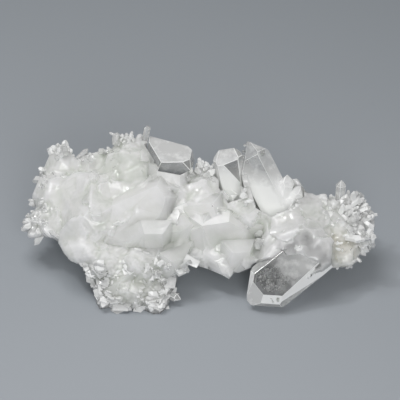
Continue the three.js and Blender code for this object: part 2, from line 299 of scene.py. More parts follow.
CLEAR = {
    "front_crystal": dict(
        root=[29, -10.6, 11.2], tip=[11.2, -20.6, 1.2], face=[0, -0.71, 0.71],
        half=[3.1, 5.6, 5.6, 3.1, 5.2, 5.2], drop=[0.9, -0.8, 0.2, 1.2, 0.6, 0],
        extra=[([0.48, -0.86, 0.12], [28.3, -15.89, 10.29]), ([-0.035, -0.97, 0.2], [16.31, -21.07, 5.11])],
    ),
    "top_point": dict(
        root=[-14.6, 15.6, 22], tip=[-13, 18, 28.6], face=[-0.6, -0.8, 0.1],
        half=0.8, drop=[0, 0.5, 0, 0.6, 0, 0.4],
    ),
    "back_point": dict(
        root=[9.4, 7, 12], tip=[6.5, 11.6, 25.7], face=[-0.1, -0.9, 0.2],
        half=[2.8, 3.5, 3.1, 2.8, 3.1, 3.6], drop=[0, -2, -2, 0.6, -1.8, -1.8],
        extra=[([-0.005, -0.917, 0.4], [5.76, 7.9, 22.96])],
    ),
    "tall_point": dict(
        root=[21.6, 1.4, 11.6], tip=[11, 14, 28.2], face=[-0.35, -0.8, 0.5],
        half=[3.2, 3.2, 3.4, 3.4, 3.8, 5.2], drop=[2.1, 1.6, 2.2, 0, 0, 2.1],
    ),
    "right_point_1": dict(
        root=[20, 2, 12], tip=[22.2, 6.8, 21.6], face=[0.3, -0.8, 0.4],
        half=[2.2, 2, 2, 2, 2.2, 2], drop=[0.6, 0, 0.8, 0.2, 0.5, 0],
    ),
    "right_point_2": dict(
        root=[22, 1, 12], tip=[25.4, 4.8, 19.6], face=[0.2, -0.9, 0.2],
        half=[2, 1.8, 1.8, 2, 1.8, 1.9], drop=[0, 0.6, 0, 0.7, 0.2, 0.5],
    ),
    "right_point_3": dict(
        root=[24.6, 0, 11], tip=[27.6, 3, 16.8], face=[0.3, -0.8, 0.3],
        half=[1.8, 1.7, 1.6, 1.8, 1.7, 1.6], drop=[0.4, 0, 0.7, 0, 0.5, 0],
    ),
    "end_point": dict(
        root=[35, 3.6, 12], tip=[35.4, 5.4, 20.4], face=[-0.5, -0.8, 0.2],
        half=[1.3, 1.1, 1.2, 1.3, 1.1, 1.2], drop=[0, 0.3, 0, 0.2, 0, 0.3],
    ),
    "foot_point": dict(
        root=[-10.5, -15, 2.4], tip=[-4.4, -19.2, 1.7], face=[0, -0.6, 0.8],
        half=1.1, drop=[0.3, 0, 0.4, 0, 0.3, 0.2],
    ),
}

# The short crystal at the top, with a broad bright face and a steep dark one under it.
SHORT_CRYSTAL = [
    ([0.03, -0.12, 1], [-4.2, 8.5, 24]),
    ([0.05, -0.97, -0.2], [-9.2, 7.6, 24]),
    ([-0.86, -0.42, 0.28], [-9.6, 7.4, 24]),
    ([-0.99, 0.05, 0.15], [-13.2, 13, 24]),
    ([0.97, -0.14, 0.1], [-2.1, 12.2, 24.6]),
    ([0.5, -0.85, 0.1], [-4, 8.1, 24]),
    ([0.34, 0.94, 0.1], [-2.6, 13.6, 24.6]),
    ([0.7, 0.5, 0.5], [-2.6, 13, 24.6]),
    ([0.5, -0.3, -0.8], [-3, 9, 20]),
    ([0, 0, -1], [0, 0, 14]),
    ([-1, 0, 0], [-16, 0, 0]),
]

# Milk and shade of the clear crystals' faces, and of some faces by their plane's number.
PLAIN_LOOK = (0.35, 1.0)
EDGE_LOOK = (0.95, 1.0)
EDGE_WIDTH = 0.13
# A shade below 1 darkens a face's colour: painted shade on faces that look dark from what they reflect and show
# through them.
LOOKS = {
    "front_crystal": {1: (0.05, 1.0), 2: (0.6, 1.0), 4: (0.9, 1.0), 13: (0.95, 1.0), 14: (1.0, 1.0)},
    "short_crystal": {0: (0.62, 1.0), 1: (0.32, 0.82), 2: (0.32, 0.78), 3: (0.6, 0.9), 5: (0.4, 0.7)},
    "back_point": {1: (0.6, 1.0), 2: (0.55, 1.0), 3: (0.3, 0.9), 11: (0.6, 1.0), 12: (0.7, 1.0), 13: (0.08, 0.62)},
    "tall_point": {1: (0.2, 1.0), 2: (0.3, 0.92), 3: (0.4, 1.0), 4: (0.45, 0.95)},
}
# Crystals are milky near these roots: from how many millimetres away, to how many.
MILKY_ROOTS = [([29, -10.6, 11.2], 3, 13), ([9.4, 6, 12], 6, 13), ([20, 2, 12], 6, 13)]

# What the photograph shows of crystals through the mass: crystal, plane number, outline in pixels.
CLEARINGS = [
    ("short_crystal", 1, [(161, 163), (190, 158), (191, 170), (180, 175), (158, 171)]),
    ("short_crystal", 2, [(144, 144), (149, 143), (162, 164), (158, 167)]),
    ("back_point", 1, [(217, 160), (236, 158), (242, 198), (228, 203), (219, 188)]),
    ("back_point", 13, [(220, 162), (238, 156), (244, 188), (234, 180)]),
    ("tall_point", 1, [(243, 160), (259, 157), (287, 210), (271, 217), (256, 208)]),
    ("tall_point", 3, [(259, 157), (270, 152), (296, 203), (286, 211)]),
    ("front_crystal", 1, [(256, 266), (268, 257), (300, 254), (321, 264), (322, 272), (284, 304), (254, 300)]),
]


def clear_solids(grow=0.0):
    """Every clear crystal's name and planes."""
    solids = {name: crystal_planes(**shape) for name, shape in CLEAR.items()}
    solids["short_crystal"] = np.array([plane(*face) for face in SHORT_CRYSTAL])
    return {name: np.vstack([grown_by(planes, grow), box_planes()]) for name, planes in solids.items()}


def with_edges(piece, width):
    """Bevel all the edges of a piece."""
    bevel = piece.modifiers.new("edges", "BEVEL")
    bevel.width = width * MM
    bevel.segments = 1
    bevel.limit_method = "NONE"
    apply_modifiers(piece)


def clear_crystals(material):
    """Each clear crystal with flat faces, and with narrow pale bevels on its edges."""
    pieces = []
    for name, planes in clear_solids().items():
        piece = solid_object(name, planes)
        with_edges(piece, EDGE_WIDTH)
        likeness = read(piece.data.polygons, "normal") @ planes[:, :3].T
        numbers = np.where(likeness.max(axis=1) > SAME_WAY, likeness.argmax(axis=1), -1)
        special = LOOKS.get(name, {})
        looks = [EDGE_LOOK if number < 0 else special.get(number, PLAIN_LOOK) for number in numbers]
        # Faces listed in LOOKS with a shade below 1 get painted shade in their colour.
        painted(piece, "milk", [milk for milk, _ in looks], "FACE")
        painted(piece, "shade", [shade for _, shade in looks], "FACE")
        pieces.append(finished(piece, material))
    return pieces


# ---- Materials


def node_material(name):
    """A new material with its node tree and its shader."""
    material = bpy.data.materials.new(name)
    material.use_nodes = True
    tree = material.node_tree
    return material, tree, tree.nodes["Principled BSDF"]


def noise(tree, scale, detail=4, roughness=0.55):
    """A noise texture in object space: scale is in repeats per metre."""
    coordinates = tree.nodes.new("ShaderNodeTexCoord")
    texture = tree.nodes.new("ShaderNodeTexNoise")
    texture.inputs["Scale"].default_value = scale
    texture.inputs["Detail"].default_value = detail
    texture.inputs["Roughness"].default_value = roughness
    tree.links.new(coordinates.outputs["Object"], texture.inputs["Vector"])
    return texture.outputs["Fac"]


def cracks(tree, scale):
    """How far the shaded point is from the walls of warped cells: scale is in cells per metre."""
    coordinates = tree.nodes.new("ShaderNodeTexCoord")
    warp = tree.nodes.new("ShaderNodeTexNoise")
    warp.inputs["Scale"].default_value = scale / 2
    tree.links.new(coordinates.outputs["Object"], warp.inputs["Vector"])
    moved = tree.nodes.new("ShaderNodeVectorMath")
    moved.operation = "MULTIPLY_ADD"
    moved.inputs[1].default_value = (1.2 / scale,) * 3
    tree.links.new(warp.outputs["Color"], moved.inputs[0])
    tree.links.new(coordinates.outputs["Object"], moved.inputs[2])
    cells = tree.nodes.new("ShaderNodeTexVoronoi")
    cells.feature = "DISTANCE_TO_EDGE"
    cells.inputs["Scale"].default_value = scale
    tree.links.new(moved.outputs["Vector"], cells.inputs["Vector"])
    return cells.outputs["Distance"]


def remap(tree, value, low, high, to_low, to_high):
    """A value from one range to another, clamped."""
    node = tree.nodes.new("ShaderNodeMapRange")
    tree.links.new(value, node.inputs["Value"])
    numbers = {"From Min": low, "From Max": high, "To Min": to_low, "To Max": to_high}
    for name, number in numbers.items():
        node.inputs[name].default_value = number
    return node.outputs["Result"]


def kept(tree, name):
    """A value that painted() kept on the piece."""
    node = tree.nodes.new("ShaderNodeAttribute")
    node.attribute_name = name
    return node.outputs["Fac"]


def away_from(tree, point):
    """How far the shaded point is from a point given in part.mjs's millimetres, in metres."""
    coordinates = tree.nodes.new("ShaderNodeTexCoord")
    node = tree.nodes.new("ShaderNodeVectorMath")
    node.operation = "DISTANCE"
    tree.links.new(coordinates.outputs["Object"], node.inputs[0])
    node.inputs[1].default_value = in_metres(point)
    return node.outputs["Value"]


def maths(tree, operation, first, second):
    """Two values combined and kept from 0 to 1."""
    node = tree.nodes.new("ShaderNodeMath")
    node.operation = operation
    node.use_clamp = True
    tree.links.new(first, node.inputs[0])
    tree.links.new(second, node.inputs[1])
    return node.outputs[0]


def between(tree, amount, low, high):
    """A colour between two colours."""
    ramp = tree.nodes.new("ShaderNodeValToRGB")
    ramp.color_ramp.elements[0].color = (*low, 1)
    ramp.color_ramp.elements[1].color = (*high, 1)
    tree.links.new(amount, ramp.inputs["Fac"])
    return ramp.outputs["Color"]


def mixed(tree, amount, first, second):
    """One colour over another by an amount."""
    node = tree.nodes.new("ShaderNodeMix")
    node.data_type = "RGBA"
    tree.links.new(amount, node.inputs["Factor"])
    tree.links.new(first, node.inputs["A"])
    node.inputs["B"].default_value = (*second, 1)
    return node.outputs["Result"]


def bumped(tree, shader, height, distance, strength):
    """Low relief from a height value: distance in millimetres."""
    bump = tree.nodes.new("ShaderNodeBump")
    bump.inputs["Strength"].default_value = strength
    bump.inputs["Distance"].default_value = distance * MM
    tree.links.new(height, bump.inputs["Height"])
    tree.links.new(bump.outputs["Normal"], shader.inputs["Normal"])


def milky_material():
    """Milky quartz with faint clouds, clearer veins, a beige stain where it is painted, and a tone with painted
    highlights on ridges and painted shade in creases.
    """
    material, tree, shader = node_material("milky_quartz")
    shader.inputs["IOR"].default_value = QUARTZ_IOR
    shader.inputs["Subsurface Weight"].default_value = 1
    shader.inputs["Subsurface Radius"].default_value = (1, 1, 1)
    shader.inputs["Subsurface Scale"].default_value = 5 * MM
    cloud = remap(tree, noise(tree, 160, detail=3), 0.35, 0.62, -0.15, 0.15)
    # The tone lightens the colour on ridges and darkens it in creases: painted highlight and painted shade.
    light = maths(tree, "ADD", kept(tree, "tone"), cloud)
    colour = between(tree, light, (0.85, 0.88, 0.82), (0.985, 0.995, 0.965))
    veins = remap(tree, cracks(tree, 420), 0, 0.03, 0.3, 0)
    colour = mixed(tree, veins, colour, (0.99, 0.99, 0.985))
    colour = mixed(tree, kept(tree, "stain"), colour, (0.72, 0.66, 0.57))
    tree.links.new(colour, shader.inputs["Base Color"])
    tree.links.new(remap(tree, light, 0, 1, 0.25, 0), shader.inputs["Transmission Weight"])
    tree.links.new(remap(tree, noise(tree, 500), 0.35, 0.65, 0.08, 0.22), shader.inputs["Roughness"])
    bumped(tree, shader, noise(tree, 1100, detail=4), 0.1, 0.2)
    return material


def crystal_material():
    """Quartz that is clear where its milk is 0 and milky where it is 1."""
    material, tree, shader = node_material("crystal_quartz")
    shader.inputs["IOR"].default_value = QUARTZ_IOR
    veils = remap(tree, noise(tree, 260, detail=6, roughness=0.62), 0.48, 0.74, 0, 0.4)
    milk = maths(tree, "ADD", kept(tree, "milk"), veils)
    for root, inner, outer in MILKY_ROOTS:
        milk = maths(tree, "ADD", milk, remap(tree, away_from(tree, root), inner * MM, outer * MM, 0.7, 0))
    # Shade darkens the colour: painted shade on the darker faces and on the dark flecks inside the front crystal, and
    # random tone on the foot's chips.
    colour = between(tree, kept(tree, "shade"), (0, 0, 0), (0.975, 0.98, 0.975))
    tree.links.new(colour, shader.inputs["Base Color"])
    tree.links.new(remap(tree, milk, 0, 1, 1, 0.05), shader.inputs["Transmission Weight"])
    tree.links.new(remap(tree, milk, 0, 1, 0.02, 0.12), shader.inputs["Roughness"])
    bumped(tree, shader, noise(tree, 900, detail=3), 0.05, 0.15)
    return material


def floor_material():
    material, tree, shader = node_material("floor")
    # Painted pool of light: the floor's colour is brighter near the point in front of the cluster and darker far from
    # it.
    far = remap(tree, away_from(tree, PAINTED_FLOOR_LIGHT), 80 * MM, 420 * MM, 0, 1)
    colour = between(tree, far, (0.41, 0.438, 0.472), (0.225, 0.248, 0.27))
    tree.links.new(colour, shader.inputs["Base Color"])
    shader.inputs["Roughness"].default_value = 0.8
    return material


# ---- The milky mass

VOXEL = 0.36
# Gaps narrower than twice this are grown shut.
CLOSING = 0.5
POCKET_GAP = 0.05
SHARP_ANGLE = np.radians(28)
SIDE_CRYSTALS = 60
BROKEN_FACETS = 110

# Broken, rough places: middle, size and how rough.
ROUGH = [
    ([-16, -15, 2.5], [17, 12, 9], 1.0),
    ([34, -7.5, 7.6], [7, 6, 5], 0.9),
    ([37, -1, 11], [9, 9, 9], 1.0),
    ([-41, 1, 10], [6, 6, 6], 1.0),
    ([-20, 14, 23], [5, 5, 5], 0.6),
    ([-36, 15, 17], [3, 3, 3], 0.8),
    ([1, 12, 18], [4, 4, 4], 0.8),
    ([3, 9, 19], [6, 6, 6], 0.7),
    ([22, 2, 17], [5, 5, 5], 0.8),
    ([31, 1, 14.5], [3, 3, 3], 0.9),
]
# Places where the mass is clearer and its colour darker.
CLEARER = [
    ([-17, 8, 22], [7, 6, 5], 0.7),
    ([-7, -9, 12], [5, 4, 4], 0.4),
    ([5, -7, 9], [5, 4, 5], 0.45),
    ([12, -9, 8], [5, 4, 5], 0.35),
    ([-18, -18, 4], [14, 6, 6], 0.5),
    ([24, -3, 13], [6, 4, 4], 0.3),
]
STAINED = [
    ([34, -8, 8], [7, 5, 5], 0.6),
    ([-18, -18, 3], [12, 5, 4], 0.15),
]

# A face that looks this way shows the small lamp to the camera.
GLINT = (-0.28, -0.37, 0.89)

# Faces that the photograph shows: outline in its pixels and the way it looks.
PLATES = [
    ([(157, 172), (172, 174), (180, 176), (181, 194), (166, 196), (156, 186)], (0.1, -0.75, 0.65)),
    ([(180, 176), (189, 169), (196, 175), (194, 178)], (0.1, -0.3, 1)),
    ([(112, 205), (128, 198), (156, 184), (166, 197), (160, 215), (143, 233), (126, 242), (108, 238)],
     (-0.1, -0.7, 0.7)),
    ([(125, 245), (144, 234), (163, 234), (163, 252), (158, 262), (144, 259)], (0, -1, -0.15)),
    ([(144, 233), (160, 221), (185, 214), (192, 224), (181, 232)], (0.05, -0.6, 0.8)),
    ([(183, 207), (213, 203), (217, 222), (193, 226)], (-0.1, -0.75, 0.65)),
    ([(217, 205), (236, 214), (262, 222), (245, 230), (227, 221), (216, 216)], (0.15, -0.6, 0.8)),
    ([(202, 226), (229, 222), (245, 231), (249, 252), (232, 253), (217, 262), (210, 245)],
     (0.1, -0.93, 0.35)),
    ([(183, 233), (201, 227), (214, 256), (205, 266), (190, 260)], (-0.4, -0.9, 0.2)),
    ([(217, 262), (228, 254), (231, 270), (229, 278), (222, 273)], (0.2, -0.8, 0.5)),
    ([(232, 253), (250, 252), (250, 268), (238, 273), (230, 270)], (0.3, -0.9, 0.1)),
    ([(250, 228), (264, 224), (262, 245), (252, 255), (249, 245)], (0.3, -0.8, 0.5)),
    ([(100, 291), (119, 283), (112, 298), (101, 304)], (-0.3, -0.8, 0.5)),
    ([(148, 301), (162, 299), (157, 314)], (0.1, -0.8, 0.6)),
    ([(208, 209), (211, 203), (218, 208)], GLINT),
    ([(295, 245), (299, 243), (303, 246), (302, 250), (297, 251)], GLINT),
    ([(326, 212), (331, 210), (333, 214), (330, 218), (326, 216)], GLINT),
    ([(138, 198), (157, 183), (163, 186), (148, 199)], GLINT),
    ([(172, 262), (186, 257), (182, 267), (172, 275)], (0.5, -0.8, 0.2)),
    ([(165, 276), (178, 270), (172, 287), (163, 290)], (0.4, -0.8, 0.3)),
]


# Milky mass over the root of the front crystal: outline, normal and height over the crystal's face.
TRIMS = [
    [(10, 200), (30, 200), (53, 147), (53, 110), (10, 110)],
    [(52, 110), (52, 149), (62, 143), (62, 110)],
    [(61, 110), (61, 144), (78, 160), (88, 110)],
    [(76, 110), (79, 157), (107, 149), (109, 110)],
    [(106, 110), (107, 150), (110, 141), (122, 137), (122, 110)],
    [(186, 263), (205, 268), (222, 275), (229, 279), (229, 300), (183, 300)],
    [(228, 280), (234, 273), (247, 272), (246, 300), (228, 300)],
]
SHOULDERS = [
    ([(262, 258), (280, 236), (306, 226), (322, 240), (302, 256), (276, 262)], (-0.1, -0.75, 0.65), 0.7),
    ([(298, 240), (314, 228), (330, 240), (330, 256), (318, 262), (302, 256)], (0.2, -0.7, 0.7), 0.8),
]


def zone_at(points, zones):
    """How far points lie in zones, each with a middle, a size and a strength: from 0 to 1."""
    amount = np.zeros(len(points))
    for middle, size, strength in zones:
        away = np.linalg.norm((points - middle) / np.array(size), axis=1)
        amount = np.maximum(amount, strength * np.clip(1.6 - 1.2 * away, 0, 1))
    return amount


def nearest(points, seeds, count):
    """Numbers of the nearest seeds to each point."""
    tree = kdtree.KDTree(len(seeds))
    for number, seed in enumerate(seeds):
        tree.insert(seed, number)
    tree.balance()
    return np.array([[hit[1] for hit in tree.find_n(point, count)] for point in points])


def facet_field(points, cell, steepness):
    """Flat-sided crystals packed about one cell apart: where, how high, their slopes and tones."""
    count = int(len(points) * (VOXEL / cell) ** 2) + 8
    seeds = points[random.choice(len(points), count, replace=False)]
    tops = random.uniform(-0.3, 0.3, count) * cell
    slopes = unit(random.normal(size=(count, 5, 3))) * steepness
    return seeds, tops, slopes, random.uniform(0, 1, (count, 5))


def facets_at(points, field):
    """The height and tone of a field's facets at points."""
    seeds, tops, slopes, tones = field
    near = nearest(points, seeds, 5)
    falls = np.einsum("pnc,pnsc->pns", points[:, None, :] - seeds[near], slopes[near])
    heights = tops[near] - falls.max(axis=2)
    rows, best = np.arange(len(points)), heights.argmax(axis=1)
    sides = falls[rows, best].argmax(axis=1)
    return heights[rows, best], tones[near[rows, best], sides]


def cut_crystals(mass, grow, clearings=()):
    """Take the clear crystals' room, and the room in front of some of their faces, out of the mass."""
    solids = clear_solids(grow)
    rooms = [clearing(solids[name][number], outline) for name, number, outline in clearings]
    combined(mass, [one_solid("room", [*solids.values(), *rooms])], "DIFFERENCE")


def ridges(mass):
    """How much the surface bends at each point: above 0 on ridges and below 0 in creases."""
    points, normals = places_of(mass), read(mass.data.vertex_normals, "vector")
    ends = read(mass.data.edges, "vertices", 2, np.int32).astype(int)
    along = points[ends[:, 1]] - points[ends[:, 0]]
    turn = normals[ends[:, 1]] - normals[ends[:, 0]]
    bend = (turn * along).sum(axis=1) / np.maximum((along ** 2).sum(axis=1), 0.05)
    total = np.bincount(ends.ravel(), np.repeat(bend, 2), len(points))
    return np.clip(total / np.maximum(np.bincount(ends.ravel(), minlength=len(points)), 1), -1, 1)


def remeshed(mass, distance):
    """Move the surface out or in, and remesh it."""
    if distance:
        move = mass.modifiers.new("move", "DISPLACE")
        move.strength = distance * MM
        move.mid_level = 0
    remesh = mass.modifiers.new("remesh", "REMESH")
    remesh.mode = "VOXEL"
    remesh.voxel_size = VOXEL * MM
    apply_modifiers(mass)


def away_from_crystals(points, distance):
    """Which points are further than a distance from every clear crystal."""
    away = np.ones(len(points), bool)
    for planes in clear_solids().values():
        away &= (points @ planes[:, :3].T - planes[:, 3]).max(axis=1) > distance
    return away


def side_crystals(mass, surface):
    """Stout crystals all over the mass, as planes, that stand a little out of it."""
    points = places_of(mass)
    normals = read(mass.data.vertex_normals, "vector")
    apart = away_from_crystals(points, 2.5) & (zone_at(points, ROUGH) < 0.3)
    for outline, _ in PLATES:
        middle = seen(surface, np.mean(outline, axis=0))[0]
        reach = MM_PER_PIXEL * np.linalg.norm(np.subtract(outline, np.mean(outline, axis=0)), axis=1).max()
        apart &= np.linalg.norm(points - middle, axis=1) > reach
    apart = np.flatnonzero(apart)
    spots = random.choice(apart, SIDE_CRYSTALS, replace=False)
    axes = leaning(normals[spots] + (0, -0.2, 0.1), 0.6)
    for point, normal, axis in zip(points[spots], normals[spots], axes):
        half = random.uniform(0.5, 1.7)
        tip = point + 0.25 * half * normal
        halves = half * random.uniform(0.75, 1.2, 6)
        planes = crystal_planes(tip - 3 * axis, tip, random.normal(size=3), halves, half * random.uniform(0, 0.8, 6))
        yield np.vstack([planes, box_planes()])


def plate_planes(middle, outline, normal, depth=2.5, flare=42):
    """A crystal face seen at an outline of pixels, with sides that slope back into the mass."""
    corners = [on_plane(pixel, normal, middle @ normal) for pixel in outline]
    centre = np.mean(corners, axis=0)
    planes = [plane(normal, middle), plane(-normal, middle - depth * normal)]
    for first, second in zip(corners, corners[1:] + corners[:1]):
        out = np.cross(second - first, normal)
        out = unit(out * np.sign(out @ (first - centre)))
        tilt = np.radians(flare)
        planes.append(plane(out * np.cos(tilt) + normal * np.sin(tilt), first))
    return np.array(planes + box_planes())


def chip_planes():
    """A broken bit about 1 in radius, as planes."""
    ways = np.concatenate([unit(random.normal(size=(8, 3))), np.eye(3), -np.eye(3)])
    return np.column_stack([ways, random.uniform(0.55, 0.85, len(ways))])


def moved_planes(planes, axes, sizes, place):
    """Planes of a solid stretched by sizes along three axes, and moved to a place."""
    ways = planes[:, :3] / sizes @ axes
    lengths = np.linalg.norm(ways, axis=1)
    ways /= lengths[:, None]
    return np.column_stack([ways, planes[:, 3] / lengths + ways @ place])


def broken_facets(mass):
    """Flat broken facets nearly flush with the mass, as planes."""
    points, normals = places_of(mass), read(mass.data.vertex_normals, "vector")
    apart = np.flatnonzero(away_from_crystals(points, 2) & (zone_at(points, ROUGH) < 0.6))
    for spot in random.choice(apart, BROKEN_FACETS, replace=False):
        up = leaning(normals[spot], 0.35)
        first = unit(np.cross(up, random.normal(size=3)))
        size = random.uniform(0.9, 2.6)
        axes = np.array([first, np.cross(up, first), up])
        place = points[spot] - 0.22 * size * up
        planes = moved_planes(chip_planes(), axes, size * np.array([1.3, 1, 0.4]), place)
        yield np.vstack([planes, box_planes()])


def crisp_crystals(mass):
    """Add crystals with crisp edges: many small ones, and the faces that the photograph shows."""
    surface = surface_of(mass)
    solids = []
    for outline, normal in PLATES:
        normal = unit(normal)
        middle = seen(surface, np.mean(outline, axis=0))[0] + 0.1 * normal
        solids.append(plate_planes(middle, outline, normal))
    solids += [*side_crystals(mass, surface), *broken_facets(mass)]
    combined(mass, [one_solid("crisp", solids)], "UNION")


def shoulders():
    """The mass over the root of the front crystal, as planes."""
    face = clear_solids()["front_crystal"][1]
    for outline, normal, height in SHOULDERS:
        middle = on_plane(np.mean(outline, axis=0), face[:3], face[3] + height)
        yield plate_planes(middle, outline, unit(normal), depth=4, flare=30)


def trimmed(mass):
    """Cut off what the photograph shows to be outside of the mass."""
    rooms = [np.array(view_cone(outline) + [plane(FORWARD, EYE + 480 * FORWARD), plane(-FORWARD, EYE + 350 * FORWARD)])
             for outline in TRIMS]
    combined(mass, [one_solid("trims", rooms)], "DIFFERENCE")


def milky_mass():
    """The CAD form without the clear crystals, its gaps grown shut, with its fine relief."""
    mass = bpy.data.objects.new("milky_mass", bpy.data.objects[NODE].data.copy())
    bpy.context.collection.objects.link(mass)
    mass.modifiers.new("weld", "WELD").merge_threshold = WELD_DISTANCE
    cut_crystals(mass, 0.3)
    combined(mass, [one_solid("shoulders", shoulders())], "UNION")
    remeshed(mass, 0)
    for distance in (CLOSING, -CLOSING):
        remeshed(mass, distance)
    mass.modifiers.new("smooth", "SMOOTH").iterations = 2
    apply_modifiers(mass)
    points = places_of(mass)
    normals = read(mass.data.vertex_normals, "vector")
    rough = zone_at(points, ROUGH)
    broad, narrow = facet_field(points, 5.5, 0.34), facet_field(points, 2, 0.4)
    soft = np.clip(facets_at(points, broad)[0], -0.8, 0.8)
    fine = np.clip(facets_at(points, narrow)[0], -0.3, 0.3)
    coarse = facets_at(points, facet_field(points, 1.8, 0.7))[0]
    small = facets_at(points, facet_field(points, 0.9, 0.8))[0]
    height = (1 - rough) * (0.7 * soft + 0.15 * fine) + rough * (0.7 * coarse + 0.5 * small) - 0.3
    points = inside_box(points + normals * np.clip(height, -1.2, 0.5)[:, None])
    mass.data.vertices.foreach_set("co", in_metres(points).astype(np.float32).ravel())
    mass.data.update()
    mass.data.shade_smooth()
    crisp_crystals(mass)
    trimmed(mass)
    cut_crystals(mass, POCKET_GAP, CLEARINGS)
    mass.data.set_sharp_from_angle(angle=SHARP_ANGLE)
    points = places_of(mass)
    painted(mass, "stain", zone_at(points, STAINED))
    # The tone is random for each facet and lower where the mass is clearer; it is raised on ridges and lowered in
    # creases, which is a painted highlight and painted shade.
    tone = 0.25 + 0.3 * facets_at(points, broad)[1] + 0.2 * facets_at(points, narrow)[1]
    painted(mass, "tone", tone * (1 - zone_at(points, CLEARER)) + 0.4 * ridges(mass))
    return finished(mass, milky_material())


# Small clear crystals: pixel, half width and direction.
SMALL_POINTS = [
    ((231, 190), 1.5, (-0.3, -0.3, 0.9)),
    ((227, 199), 1.9, (0.4, -0.5, 0.7)),
    ((238, 195), 1.3, (0.6, -0.3, 0.7)),
    ((219, 193), 1.2, (-0.5, -0.4, 0.8)),
    ((212, 206), 1.2, (-0.2, -0.5, 0.8)),
    ((204, 176), 1.2, (0.2, -0.3, 0.9)),
    ((196, 168), 1.0, (-0.3, -0.3, 0.9)),
    ((206, 168), 1.1, (0.4, -0.2, 0.9)),
    ((248, 226), 1.4, (0.5, -0.5, 0.7)),
    ((256, 233), 1.6, (-0.3, -0.7, 0.6)),
    ((262, 244), 1.3, (0.3, -0.7, 0.6)),
    ((186, 176), 1.3, (0.1, -0.4, 0.9)),
    ((299, 247), 1.3, (0.1, -0.6, 0.8)),
    ((292, 200), 1.5, (0.3, -0.4, 0.8)),
    ((300, 208), 1.2, (-0.2, -0.5, 0.8)),
    ((324, 214), 1.5, (0.1, -0.5, 0.8)),
    ((333, 212), 1.3, (0.4, -0.4, 0.8)),
]


def nearest_seen(surfaces, pixel):
    """The point of several surfaces that shows at a pixel, or None."""
    found = [seen(surface, pixel) for surface in surfaces]
    points = [hit[0] for hit in found if hit is not None]
    return min(points, key=lambda point: np.linalg.norm(point - EYE), default=None)


def small_points(surfaces, material):
    """Small clear crystals where the photograph shows a net of bright edges."""
    corners, faces, start = [], [], 0
    for pixel, half, way in SMALL_POINTS:
        place = nearest_seen(surfaces, pixel)
        if place is None:
            continue
        axis = unit(way)
        tip = place + 0.8 * half * axis
        halves = half * random.uniform(0.8, 1.1, 6)
        planes = crystal_planes(tip - 4 * axis, tip, random.normal(size=3), halves, half * random.uniform(0, 0.8, 6))
        solid, sides = corners_and_faces(np.vstack([planes, box_planes()]))
        corners.append(solid)
        faces.extend(face + start for _, face in sides)
        start += len(solid)
    piece = mesh_object("small_points", np.concatenate(corners), faces)
    with_edges(piece, 0.09)
    areas = read(piece.data.polygons, "area", 1)[:, 0] / MM ** 2
    painted(piece, "milk", np.where(areas < 0.35, 0.95, 0.35), "FACE")
    painted(piece, "shade", np.ones(len(areas)), "FACE")
    return finished(piece, material)


# ---- Fine crystals, chips and flecks

FANS = [
    dict(centre=[36.2, 1.5, 12.6], radii=[3, 3, 2], way=[1, 0.1, 0.12], spread=0.75, count=46, length=(3.4, 7.4), half=(0.45, 0.95)),
    dict(centre=[36.6, -4, 9.6], radii=[2.6, 2.4, 2], way=[0.8, -0.5, -0.15], spread=0.65, count=34, length=(3, 7), half=(0.45, 0.95)),
    dict(centre=[35, 2, 13.4], radii=[4, 2, 1.2], way=[0.3, 0.1, 1], spread=0.8, count=30, length=(2, 4.6), half=(0.35, 0.8)),
    dict(centre=[-39.4, 1, 9.2], radii=[2.4, 3, 1.4], way=[-0.9, -0.15, 0.1], spread=0.85, count=70, length=(2.4, 5.6), half=(0.35, 0.9)),
    dict(centre=[-35, 18.6, 18.6], radii=[2, 1.6, 1], way=[0, 0.4, 0.9], spread=0.7, count=9, length=(2, 3.6), half=(0.5, 1.1)),
    dict(centre=[-27.6, 16, 18.6], radii=[2.6, 1, 0.6], way=[0, 0.3, 0.9], spread=0.6, count=8, length=(1.6, 2.6), half=(0.5, 1)),
    dict(centre=[-18.6, 16.4, 23.6], radii=[2.8, 0.8, 0.8], way=[-0.1, 0.2, 1], spread=0.7, count=28, length=(1.6, 3.6), half=(0.25, 0.55)),
    dict(centre=[1, 12, 18], radii=[2.8, 1, 0.8], way=[0, 0, 1], spread=0.9, count=26, length=(1.6, 3.6), half=(0.3, 0.7)),
    dict(centre=[29.6, 2, 13.6], radii=[2.6, 1.2, 0.8], way=[0.1, 0, 1], spread=0.9, count=22, length=(2, 3.6), half=(0.3, 0.8)),
]


def leaning(ways, spread):
    """Directions that lean away from ways by up to about spread radians."""
    return unit(unit(ways) + random.normal(0, np.tan(spread) / 2, np.shape(ways)))


def small_crystals(shortest, longest, count=12):
    """Crystals of half width 1 that stand on the origin along +Z."""
    made = []
    for _ in range(count):
        tip = [0, 0, random.uniform(shortest, longest)]
        planes = crystal_planes([0, 0, 0], tip, [1, 0, 0], random.uniform(0.75, 1.2, 6), random.uniform(0, 0.8, 6))
        corners, faces = corners_and_faces(planes)
        made.append((corners, [face for _, face in faces]))
    return made


def chips(shape, count=10):
    """Broken bits about 1 in radius, stretched by a shape."""
    made = []
    for _ in range(count):
        corners, faces = corners_and_faces(chip_planes())
        made.append((corners * shape, [face for _, face in faces]))
    return made


def placed(shapes, roots, axes, sizes):
    """Corners and faces of many small shapes, and which of them each corner belongs to."""
    kinds = random.integers(0, len(shapes), len(roots))
    first = unit(np.cross(axes, unit(random.normal(size=axes.shape))))
    frames = np.stack([first, np.cross(axes, first), axes], axis=1)
    corners, faces, owners, start = [], [], [], 0
    for kind, (shape, shape_faces) in enumerate(shapes):
        chosen = np.flatnonzero(kinds == kind)
        made = np.einsum("vc,ncd->nvd", shape, frames[chosen]) * sizes[chosen][:, None, None]
        corners.append((made + roots[chosen][:, None, :]).reshape(-1, 3))
        owners.append(np.repeat(chosen, len(shape)))
        for copy in range(len(chosen)):
            faces.extend(face + start + copy * len(shape) for face in shape_faces)
        start += len(chosen) * len(shape)
    return np.concatenate(corners), faces, np.concatenate(owners)


